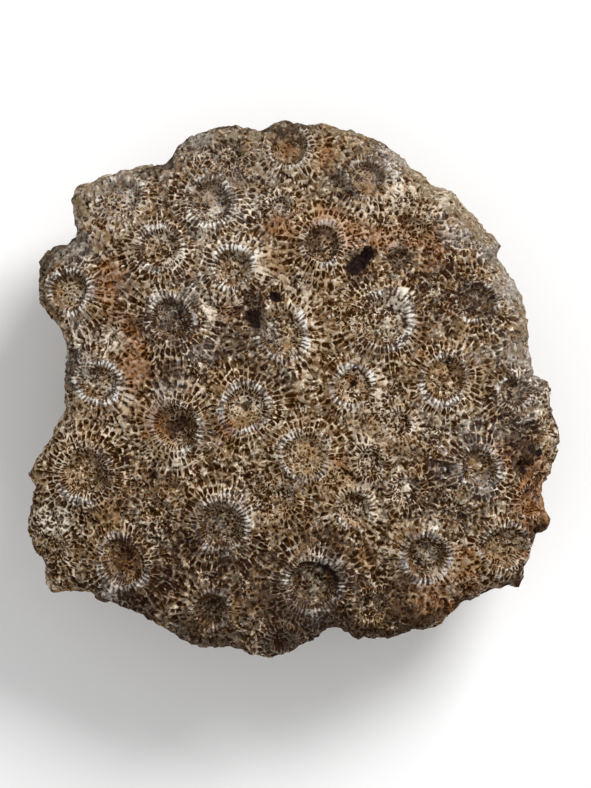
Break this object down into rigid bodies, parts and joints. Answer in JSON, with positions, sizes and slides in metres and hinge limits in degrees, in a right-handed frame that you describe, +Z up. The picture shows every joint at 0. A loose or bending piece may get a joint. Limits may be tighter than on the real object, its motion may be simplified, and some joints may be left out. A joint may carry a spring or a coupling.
{
  "type": "petoskey stone",
  "caption": "Loose piece of fossil colonial coral: a gently domed face packed with round, ridged corallites, a lumpy broken edge, and a flat patch underneath to rest on.",
  "frame": {"origin": "centre of the bounding box on the resting plane", "axes": "+Z up out of the fossil face, +Y towards the top of the face as pictured, +X towards its right"},
  "size_m": [0.0956, 0.0968, 0.0383],
  "materials": {
    "coral_limestone": "dull weathered grey brown limestone, pale ridges over dark pits"
  },
  "bodies": {
    "root": {"petoskey_stone": "coral_limestone"}
  },
  "joints": []
}
